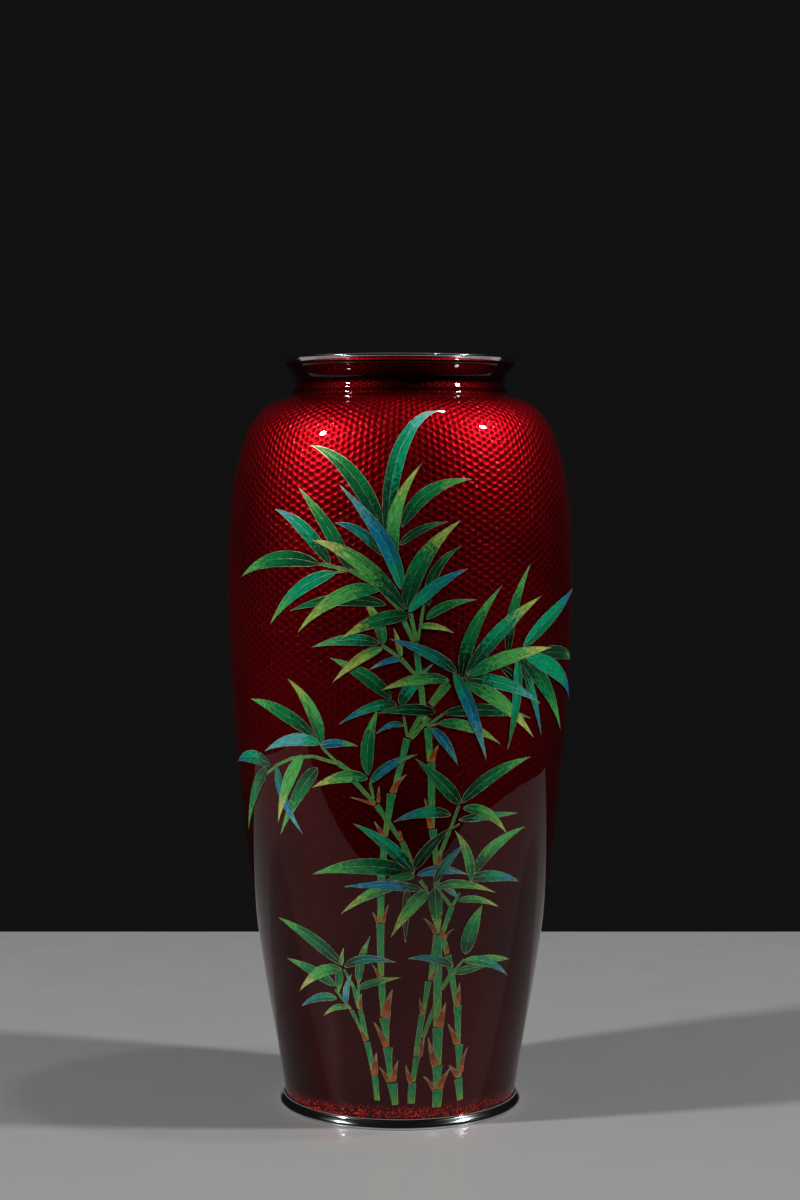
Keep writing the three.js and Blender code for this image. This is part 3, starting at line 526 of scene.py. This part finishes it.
# A culm or twig length is bottom angle, height and width, then top angle, height and width.
STEMS = {
    "culm_1": [
        (-10.7, 9.3, 1.6, -11.4, 17.6, 1.8), (-11.9, 18, 1.3, -14.2, 28.6, 2.0),
        (-14.3, 29.2, 1.3, -16.4, 39, 1.6), (-16.9, 39.8, 1.2, -18.8, 46.5, 1.1),
        (-18.8, 46.5, 1.0, -22.3, 52, 0.7), (-14.9, 30.5, 0.9, -20.3, 38.7, 1.2),
        (-20.6, 39.2, 0.8, -27, 45.3, 0.7), (-17, 40.5, 0.7, -16.6, 48.2, 0.7),
    ],
    "culm_2": [
        (-2.2, 8, 1.9, -3.4, 15, 3.5), (-4.3, 15.6, 1.5, -5.3, 27, 3.1),
        (-5.9, 27.5, 1.7, -6.3, 36.8, 3.4), (-6.8, 37.4, 1.6, -7.4, 50.4, 2.4),
        (-7.4, 50.8, 1.8, -7.3, 67.6, 2.5), (-7.2, 68.2, 1.9, -6.6, 83, 2.2),
        (-6.2, 84, 1.8, -5.3, 95.2, 2.1), (-5, 95.7, 1.6, -2.8, 109, 2.8),
        (-2, 109.6, 1.6, 2.3, 126.2, 2.2),
    ],
    "culm_3": [
        (5.2, 8.4, 2.1, 5.6, 15, 2.3), (5.9, 15.6, 1.4, 7.3, 23.8, 1.9),
        (6.9, 24.2, 1.5, 9.1, 37.9, 1.9), (9.6, 38.3, 1.3, 11.2, 48.7, 2.0),
        (12, 49.2, 1.5, 13.9, 63.8, 2.0),
    ],
    "culm_4": [
        (17.6, 6.7, 2.7, 17.7, 12.4, 3.3), (17, 12.9, 2.1, 17, 20.5, 3.6),
        (16.8, 20.9, 2.6, 16, 33.2, 3.3), (15.7, 33.8, 2.5, 14.3, 63.8, 2.0),
        (13.8, 64.3, 1.7, 12.9, 86, 2.0), (12.9, 86.5, 1.6, 11.2, 97.6, 2.4),
        (10.8, 98.2, 1.9, 10.3, 118.6, 2.3), (9.8, 119.2, 1.8, 9, 129.6, 2.5),
        (8.2, 130.2, 1.7, 4.8, 156, 1.6),
    ],
    "culm_5": [
        (29.6, 8.2, 2.0, 27.8, 15.4, 2.8), (28.2, 15.9, 1.5, 26.4, 26.8, 2.9),
        (25.9, 27.3, 1.7, 24.2, 40, 2.7), (23.6, 40.4, 1.7, 18.8, 56.9, 1.8),
        (18.2, 57.4, 1.4, 16, 63.6, 2.2), (16, 64.2, 1.4, 19.2, 72.6, 1.8),
        (19.4, 73, 1.0, 22, 77, 0.8),
    ],
    "branch_upper": [
        (4.3, 156.2, 1.2, 0.8, 163.5, 1.6), (5.2, 156.4, 1.1, 3.2, 165, 1.3),
        (5.6, 156.6, 0.8, 7.4, 167.8, 0.9),
    ],
    "branch_upper_left": [
        (1, 165.3, 1.6, -6.5, 173, 1.2), (-6.9, 173.4, 1.1, -15.5, 178, 1.3),
        (-15.5, 178, 1.0, -26.3, 179.9, 0.6), (-16.8, 177.8, 0.5, -20.6, 177.3, 0.5),
    ],
    "branch_middle_left": [(4.7, 146.3, 1.0, 0.2, 151.1, 1.5), (-0.2, 151.4, 0.9, -5.6, 155.2, 0.9)],
    "branch_right": [
        (2.7, 126.8, 1.3, 7, 133.8, 1.6), (3.6, 126.4, 1.2, 9.3, 132.7, 1.4),
        (9.5, 137, 1.3, 15.3, 144.6, 1.3), (10.2, 136.4, 1.2, 16.1, 142.7, 1.2),
        (8.6, 130.2, 0.8, 13.8, 133.7, 0.8), (8.8, 129.9, 0.5, 12.6, 131, 0.6),
        (2.3, 127, 0.7, 1.2, 133.2, 0.6),
    ],
    "branch_left": [
        (5, 85, 1.5, 0.7, 94, 1.7), (0.3, 94.4, 1.2, -7.9, 105.4, 1.8),
        (-8.3, 105.9, 1.1, -15.5, 113, 1.6), (-16, 115.4, 1.4, -21.3, 118.5, 1.4),
        (-21.5, 118.7, 0.8, -26.4, 122.8, 0.9), (-21.3, 118.2, 0.9, -30, 119.9, 0.9),
        (-30, 119.9, 0.9, -38.5, 118.8, 0.9), (-38.5, 118.8, 0.9, -46.7, 115.7, 0.7),
        (-47, 115.3, 0.9, -54, 111.6, 0.6), (-8.8, 107.6, 0.8, -9.9, 112.3, 0.8),
    ],
    "branch_mid_right": [
        (13.6, 88.5, 1.1, 17.3, 97.4, 1.1), (17.5, 97.8, 0.9, 20.2, 104.8, 0.8),
        (17.6, 97.6, 0.5, 20.7, 99.1, 0.4),
    ],
    "branch_centre_low": [(13.3, 78.8, 0.9, 18.8, 73, 1.1), (9.6, 78.7, 0.9, 7.2, 81.5, 1.0)],
    "branch_foot_right": [
        (9.9, 30.5, 1.1, 13.6, 38.9, 1.5), (13.4, 39.3, 0.9, 15.1, 43.2, 1.0),
        (16.9, 46, 1.2, 20.3, 50.6, 1.5), (20.5, 50.6, 0.8, 25.4, 55.3, 0.7),
    ],
}

# Dry sheaths at the nodes, in the same terms as the leaves.
SHEATHS = {
    "culm_1": [
        (-11.6, 17.7, -11.2, 21.3, -10.2, 25.3, 1.7), (-14.9, 28.8, -15.9, 31.3, -18, 33.8, 0.9),
        (-16.4, 39.2, -16.2, 41.8, -15.5, 44.6, 0.9),
    ],
    "culm_2": [
        (-5.1, 15.4, -6.7, 17.8, -9.2, 20.5, 1.0), (-3.1, 15.6, -2.4, 19, -0.9, 22.8, 1.3),
        (-5.8, 27.3, -7.8, 31, -10.9, 35.4, 1.5), (-5.9, 37, -5.2, 41, -3, 46.3, 2.2),
        (-8, 50.4, -8.9, 52, -11, 54.5, 0.9), (-8.1, 68, -8.8, 69.3, -10.1, 71.3, 0.8),
        (-6.3, 67.8, -5.6, 70.5, -4, 74, 0.9), (-5.7, 95.5, -6.8, 97.5, -8.8, 100.3, 1.2),
        (-2.4, 109.2, -1.2, 112, 2.2, 115.2, 1.4),
    ],
    "culm_3": [
        (5.5, 15.5, 3.9, 17.5, 2.6, 21.2, 1.3), (8.7, 24, 9.5, 27, 10.4, 31, 0.9),
        (9.3, 38.2, 8.7, 40.3, 7.8, 43.3, 0.9), (12.3, 49.2, 13.5, 51.2, 15.2, 53.8, 0.9),
    ],
    "culm_4": [
        (15.8, 12.6, 13.9, 15, 10.5, 17.4, 1.0), (18.4, 12.8, 19.8, 15.8, 23, 19.3, 1.7),
        (16.6, 20.7, 14.3, 24, 12, 30.2, 1.9), (16.5, 33.5, 17.3, 37, 18.9, 41.5, 2.0),
        (13.3, 64.3, 11.6, 67, 8.6, 69.5, 1.0), (13.2, 86.3, 13.9, 88.2, 14.1, 90.6, 1.3),
        (10.5, 98, 9.7, 102, 8.2, 107.7, 1.4), (10.4, 118.8, 11, 121.3, 12.6, 124.2, 1.5),
    ],
    "culm_5": [
        (27.5, 16.6, 25.5, 18, 22.2, 20.6, 1.7), (28.8, 17.5, 29, 21.5, 30.9, 25.7, 1.2),
        (25.7, 27.3, 23.5, 30.3, 20.4, 34.5, 1.6), (24, 40.2, 24.2, 43.5, 24.4, 47.6, 1.5),
        (18.3, 57.5, 18.3, 59.5, 17.4, 62, 0.8), (16.2, 62.8, 15.3, 65, 14.6, 68, 1.0),
        (17.1, 62.3, 18.3, 64.3, 20.5, 65.4, 0.7),
    ],
    "branch_left": [
        (-8.3, 105.6, -11.8, 106.6, -16.8, 107.7, 0.8), (-7.2, 106.3, -7.1, 108.8, -6.9, 111.5, 0.8),
        (0.5, 94.2, 0.2, 95.8, 0, 97.5, 0.9),
    ],
}

# sRGB codes of the enamels: black-green, dark, mid, emerald, light, teal, blue, pale blue, yellow
# and pale yellow.
TONES = {
    "K": "022210", "D": "05482a", "G": "0a8244", "E": "06a674", "L": "54bb58",
    "T": "04907c", "B": "0a86ac", "C": "58b8bc", "Y": "aecd56", "P": "ccd66c",
}
CULM_TONES = ("76b04a", "40a456", "249858")
TWIG_TONES = ("5c9c48", "50a04c", "449c52")
SHEATH_TONES = ("c46a2c", "a44c20", "b88a5c")

# How fast a blade widens from its base and narrows to its tip.
LEAF_POWERS = (0.64, 1.12)
SHEATH_POWERS = (0.12, 0.8)
SHEATH_SPREAD = 1.35

# A culm length is narrowest this far up.
CULM_NECK = 0.55

# Cells that cross lie in layers this far out from the wall, in mm, and wires stand on them.
FIRST_LAYER = 0.02
LAYER_STEP = 0.018
WIRE_LIFT = 0.002
WIRE_WIDTH = 0.13
WIRE_HEIGHT = 0.006
FINE_WIRE = 0.6
MIDRIB_WIRE = 0.62
MIDRIB_ENDS = (0.68, 0.86)
STATION = 1.3
GRAIN_DRIFT = 400

rng = random.Random(7)


class Cell:
    """One enamel cell: centre points and half widths in flat mm, its tones and its layer."""

    def __init__(self, kind, centre, half, scale, tones):
        self.kind = kind
        self.centre = centre
        self.half = half
        self.scale = scale
        self.tones = [linear(code) for code in tones]
        self.layer = 0
        self.split = rng.choice((-1.0, 0.0, 1.0)) if kind == "leaf" else 0.0
        self.across = []
        for i in range(len(centre)):
            (xa, ya), (xb, yb) = centre[max(i - 1, 0)], centre[min(i + 1, len(centre) - 1)]
            length = math.dist((xa, ya), (xb, yb))
            self.across.append(((ya - yb) / length, (xb - xa) / length))

    def flat(self, i, side):
        """Flat point at a station, side from -1, right of the way to the tip, to 1."""
        (x, y), (nx, ny) = self.centre[i], self.across[i]
        return (x + nx * self.half[i] * side, y + ny * self.half[i] * side)

    def on_vase(self, point, proud):
        return placed(point[0] / self.scale, point[1], proud)

    def proud(self):
        """Height of the cell's face above the wall, in mm."""
        return FIRST_LAYER + LAYER_STEP * self.layer

    def meets(self, other):
        """Whether the two cells may overlap, judged by their greatest widths."""
        reach = max(self.half) + max(other.half)
        mine = [(x / self.scale, y) for x, y in self.centre]
        theirs = [(x / other.scale, y) for x, y in other.centre]
        return any(
            math.hypot((a - c) * self.scale, b - d) < reach for a, b in mine for c, d in theirs
        )


def scale_at(height):
    """Millimetres of girth in a degree."""
    return on_wall(height)[0] * math.radians(1)


def leaf_cell(row, tones, powers=LEAF_POWERS, kind="leaf"):
    """Blade of a leaf or a sheath along a quadratic curve."""
    *path, width = row
    scale = scale_at((path[1] + path[5]) / 2)
    base, middle, tip = [(path[i] * scale, path[i + 1]) for i in (0, 2, 4)]
    control = [2 * m - (a + b) / 2 for a, m, b in zip(base, middle, tip)]
    length = math.dist(base, middle) + math.dist(middle, tip)
    count = max(8, round(length / STATION))
    near, far = powers
    widest = near / (near + far)
    centre, half = [], []
    for i in range(count + 1):
        t = (1 - math.cos(math.pi * i / count)) / 2
        centre.append(tuple(
            (1 - t) ** 2 * a + 2 * t * (1 - t) * c + t ** 2 * b for a, c, b in zip(base, control, tip)
        ))
        taper = (t / widest) ** near * ((1 - t) / (1 - widest)) ** far
        half.append(width / 2 * taper * (SHEATH_SPREAD if kind == "sheath" else 1.0))
    return Cell(kind, centre, half, scale, tones)


def stem_cell(row, tones):
    """One length of culm or twig, slim in the middle and flared to its node at the top."""
    low_angle, low, low_width, high_angle, high, high_width = row
    scale = scale_at((low + high) / 2)
    bottom, top = (low_angle * scale, low), (high_angle * scale, high)
    count = max(6, round(math.dist(bottom, top) / STATION))
    neck = 0.45 * low_width + 0.1 * high_width
    centre, half = [], []
    for i in range(count + 1):
        t = i / count
        centre.append(tuple(a + (b - a) * t for a, b in zip(bottom, top)))
        if t < CULM_NECK:
            half.append(low_width / 2 + (neck - low_width / 2) * t / CULM_NECK)
        else:
            flare = ((t - CULM_NECK) / (1 - CULM_NECK)) ** 2
            half.append(neck + (high_width / 2 - neck) * flare)
    return Cell("stem", centre, half, scale, tones)


class Inlay:
    """Collects the cells or the wires of one spray into one mesh."""

    def __init__(self):
        self.points, self.faces, self.cell_uv, self.grain_uv = [], [], [], []
        self.tones, self.split = [], []

    def add_cell(self, cell):
        """Sheet over one cell, five points across at every station."""
        start, sides = len(self.points), (-1, -0.5, 0, 0.5, 1)
        drift = (rng.uniform(0, GRAIN_DRIFT), rng.uniform(0, GRAIN_DRIFT))
        for i, (x, y) in enumerate(cell.centre):
            share = i / (len(cell.centre) - 1)
            if cell.kind != "stem":
                share = (1 - math.cos(math.pi * share)) / 2
            run = math.dist(cell.centre[0], (x, y))
            for side in sides:
                self.points.append(cell.on_vase(cell.flat(i, side), cell.proud()))
                self.cell_uv.append((share, side))
                self.grain_uv.append((drift[0] + run, drift[1] + side * cell.half[i]))
                self.tones.append(cell.tones)
                self.split.append(cell.split)
        for i in range(len(cell.centre) - 1):
            for k in range(len(sides) - 1):
                a = start + i * len(sides) + k
                b = a + len(sides)
                self.faces.append((a + 1, a, b, b + 1))

    def add_wire(self, cell, line, width):
        """Flat-backed wire along a line of flat points."""
        start = len(self.points)
        low = cell.proud() + WIRE_LIFT
        for i, (x, y) in enumerate(line):
            (xa, ya), (xb, yb) = line[max(i - 1, 0)], line[min(i + 1, len(line) - 1)]
            length = math.dist((xa, ya), (xb, yb)) or 1.0
            nx, ny = (ya - yb) / length, (xb - xa) / length
            for side, rise in ((-0.5, 0), (-0.3, WIRE_HEIGHT), (0.3, WIRE_HEIGHT), (0.5, 0)):
                point = (x + nx * width * side, y + ny * width * side)
                self.points.append(cell.on_vase(point, low + rise))
        for i in range(len(line) - 1):
            for k in range(3):
                a = start + i * 4 + k
                self.faces.append((a + 1, a, a + 4, a + 5))

    def made(self, name, material, slot):
        """The collected mesh as a piece, with each point's tones where it holds cells."""
        piece = joined_mesh(name, self.points, self.faces)
        piece.data.materials.append(material)
        if self.tones:
            for layer, values in (("cell", self.cell_uv), ("grain", self.grain_uv)):
                uv = piece.data.uv_layers.new(name=layer)
                uv.data.foreach_set("uv", [
                    value for loop in piece.data.loops for value in values[loop.vertex_index]
                ])
            for k, layer in enumerate(("tone_base", "tone_middle", "tone_tip")):
                tone = piece.data.attributes.new(layer, "FLOAT_COLOR", "POINT")
                tone.data.foreach_set("color", [v for tones in self.tones for v in tones[k]])
            split = piece.data.attributes.new("split", "FLOAT", "POINT")
            split.data.foreach_set("value", self.split)
        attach(piece, "root")
        return piece


def wire_cell(inlay, cell):
    """Wires round a cell, and the midrib of a leaf."""
    stations = range(len(cell.centre))
    width = WIRE_WIDTH if cell.kind == "leaf" else WIRE_WIDTH * FINE_WIRE
    for side in (-1, 1):
        inlay.add_wire(cell, [cell.flat(i, side) for i in stations], width)
    if cell.kind == "stem":
        for i in (0, len(cell.centre) - 1):
            inlay.add_wire(cell, [cell.flat(i, -1), cell.flat(i, 0), cell.flat(i, 1)], width)
    if cell.kind == "leaf":
        last = round(len(cell.centre) * rng.uniform(*MIDRIB_ENDS))
        inlay.add_wire(cell, cell.centre[:last], WIRE_WIDTH * MIDRIB_WIRE)


def spray_cells(name):
    """The cells of one group: its culm or twigs, its sheaths, its leaves."""
    stem_name = name.replace("spray_", "branch_")
    stem_tones = CULM_TONES if name.startswith("culm") else TWIG_TONES
    cells = [stem_cell(row, stem_tones) for row in STEMS.get(stem_name, [])]
    cells += [leaf_cell(row, SHEATH_TONES, SHEATH_POWERS, "sheath")
              for row in SHEATHS.get(stem_name, [])]
    for *row, letters in LEAVES.get(name, []):
        cells.append(leaf_cell(row, [TONES[letter] for letter in letters]))
    return cells


materials = {
    "ruby": ruby_enamel(),
    "cell": cell_enamel(),
    "wire": metal("silver_wire", (0.86, 0.8, 0.46), 0.5, 420.0, dullest=0.2),
    "ring": metal("polished_silver", (0.78, 0.79, 0.81), 0.09, 60.0, 0.02),
    "foil": metal("silver_foil", (0.86, 0.86, 0.84), 0.3, 400.0, 0.2),
    "copper": metal("spun_copper", (0.72, 0.36, 0.22), 0.35, 150.0, 0.05),
    "counter": counter_enamel(),
}

# Bamboo. A cell lies one layer above the highest cell that it crosses.
sprays = {name: spray_cells(name) for name in GROUP_ORDER}
ordered = [cell for kind in ("stem", "sheath", "leaf") for name in GROUP_ORDER
           for cell in sprays[name] if cell.kind == kind]
for i, cell in enumerate(ordered):
    under = [other.layer for other in ordered[:i] if other.meets(cell)]
    cell.layer = max(under, default=0) + 1

for name, cells in sprays.items():
    slot = "culm_enamel" if name.startswith("culm") else "leaf_enamel"
    enamel, wires = Inlay(), Inlay()
    for cell in cells:
        enamel.add_cell(cell)
        wire_cell(wires, cell)
    piece = enamel.made(f"{name}_enamel", materials["cell"], slot)
    solids = [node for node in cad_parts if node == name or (
        node.startswith(f"{name}_") and node[len(name) + 1:].isdigit())]
    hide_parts(*solids)
    wires.made(f"{name}_wires", materials["wire"], "silver_ring")


# Vessel. Depths are mm in from the outline, the floor's heights mm above the table.
ENAMEL_BACK = 0.72
LINING_BACK = 2.25
LINING_FACE = 2.85
FLOOR = 8.3
FLOOR_FACE = 8.9
FLOOR_ROUND = 5
FLOOR_FLAT = 20
BEAD_STEP = 0.12


def vessel(name, profile, material, rows=None):
    """Turned piece that stands for the CAD node of the same name."""
    piece = turned(name, profile, rows)
    piece.data.materials.append(materials[material])
    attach(piece, "root")
    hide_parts(name.removesuffix("_fine"))


def cup(depth, floor):
    """Inner outline from the centre of a floor up the wall, rounded where they meet."""
    wall = [point for point in inset(depth, 2) if point[1] > floor + FLOOR_ROUND]
    reach = wall[0][0]
    centre, level = reach - FLOOR_ROUND, floor + FLOOR_ROUND
    bend = [(centre + FLOOR_ROUND * math.sin(a), level - FLOOR_ROUND * math.cos(a))
            for a in (math.radians(d) for d in range(0, 90, 15))]
    return [(0, floor), (reach - FLOOR_FLAT, floor), *bend, *wall]


rows = [0.0]
for (r0, z0), (r1, z1) in zip(WALL, WALL[1:]):
    pitch = HEX_ROW * math.tau * (r0 + r1) / 2 / FOIL_COLUMNS
    rows.append(rows[-1] + math.dist((r0, z0), (r1, z1)) / pitch)
back = inset(ENAMEL_BACK, 4)[::-1]
vessel("ground_enamel_fine", WALL + back, "ruby", rows + [0.0] * len(back))
vessel("lining_enamel_fine", cup(LINING_BACK, FLOOR) + cup(LINING_FACE, FLOOR_FACE)[::-1],
       "counter")

# Sections of the silver rings and of the enamel under the foot, radius and height in mm.
MOUTH_BEAD = [
    (37.6, 242.95), (38.0, 243.35), (38.4, 243.9), (38.62, 244.2), (38.7, 244.45), (38.6, 244.72),
    (38.2, 244.93), (37.6, 245.0), (36.0, 245.0), (35.0, 244.85), (34.6, 244.4), (34.6, 243.7),
    (35.0, 243.2), (36.0, 243.05),
]
FOOT_BEAD = [
    (34.7, 0.0), (39.3, 0.0), (39.75, 0.12), (39.88, 0.4), (39.88, 0.75), (39.75, 1.15),
    (39.42, 1.65), (39.0, 2.15), (38.55, 2.65), (38.4, 2.95), (38.35, 3.35), (37.6, 3.45),
    (34.7, 3.4),
]
BASE = [(0, 6.35), (30, 6.38), (35.3, 6.4), (35.75, 6.6), (35.75, 6.95), (0, 6.95)]
vessel("mouth_rim_fine", spline(MOUTH_BEAD, BEAD_STEP), "ring")
vessel("foot_ring_fine", [FOOT_BEAD[0], *spline(FOOT_BEAD[1:-1], BEAD_STEP), FOOT_BEAD[-1]],
       "ring")
vessel("base_enamel_fine", BASE, "counter")

for node, material in (("silver_foil", "foil"), ("copper_body", "copper")):
    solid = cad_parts[node]
    solid.data.materials.clear()
    solid.data.materials.append(materials[material])

# Stage, in metres and degrees. The table top starts at its front left corner; its front right
# corner is rounded off.
TABLE_EDGE = [
    (-0.56, -0.235), (0.225, -0.235), (0.31, -0.18), (0.39, -0.1), (0.45, 0.0), (0.48, 0.11),
    (0.495, 0.283), (-0.56, 0.283),
]
TABLE_THICK = 0.03
ROOM_LIGHT = (0.0058, 0.0058, 0.0062, 1)
AIM = Vector((0, 0, 0.13))
CAMERA_PLACE = (0, -0.8, 0.2131)
CAMERA_DIP = 3.39
LENS = 73.2


def pale_table():
    """Pale grey table top with a soft sheen."""
    s = Shader("pale_table", Coat_Weight=0.0)
    cloud = s.noise(s.place(), 3.0, 3.0, 0.6)
    s.set(Base_Color=s.mix(cloud, (0.30, 0.30, 0.30, 1), (0.325, 0.325, 0.32, 1)),
          Roughness=s.ramp(s.noise(s.place(), 40.0, 2.0), 0.3, 0.7, 0.17, 0.23))
    return s.material


corners = len(TABLE_EDGE)
table = joined_mesh(
    "table",
    [(x, y, z) for z in (-TABLE_THICK, 0) for x, y in TABLE_EDGE],
    [tuple(reversed(range(corners))), tuple(range(corners, 2 * corners))]
    + [(i, (i + 1) % corners, (i + 1) % corners + corners, i + corners) for i in range(corners)],
)
table.data.shade_flat()
table.data.materials.append(pale_table())

world = bpy.data.worlds.new("dark_room")
world.use_nodes = True
world.node_tree.nodes["Background"].inputs["Color"].default_value = ROOM_LIGHT
bpy.context.scene.world = world
bpy.context.scene.view_settings.view_transform = "Standard"


def softbox(name, azimuth, elevation, distance, size, power):
    """Area light aimed at the vase; azimuth 0 is the viewer's side, positive to the right."""
    data = bpy.data.lights.new(name, "AREA")
    data.shape = "DISK"
    data.size = size
    data.energy = power
    lamp = bpy.data.objects.new(name, data)
    a, e = math.radians(azimuth), math.radians(elevation)
    lamp.location = AIM + distance * Vector((
        math.sin(a) * math.cos(e), -math.cos(a) * math.cos(e), math.sin(e)))
    lamp.visible_camera = False
    lamp.rotation_euler = (AIM - lamp.location).to_track_quat("-Z", "Y").to_euler()
    bpy.context.scene.collection.objects.link(lamp)


softbox("key_right", 78.6, 44.1, 2.09, 0.15, 33)
softbox("key_left", -67.1, 39.9, 2.09, 0.15, 37)
softbox("overhead", 81.2, 71.9, 2.1, 0.1, 6.5)
softbox("rear_fill", 180, 46, 1.3, 0.7, 0.25)

camera_data = bpy.data.cameras.new("camera")
camera_data.sensor_width = 36
camera_data.lens = LENS
camera = bpy.data.objects.new("camera", camera_data)
camera.location = CAMERA_PLACE
camera.rotation_euler = (math.radians(90 - CAMERA_DIP), 0, 0)
bpy.context.scene.collection.objects.link(camera)
bpy.context.scene.camera = camera
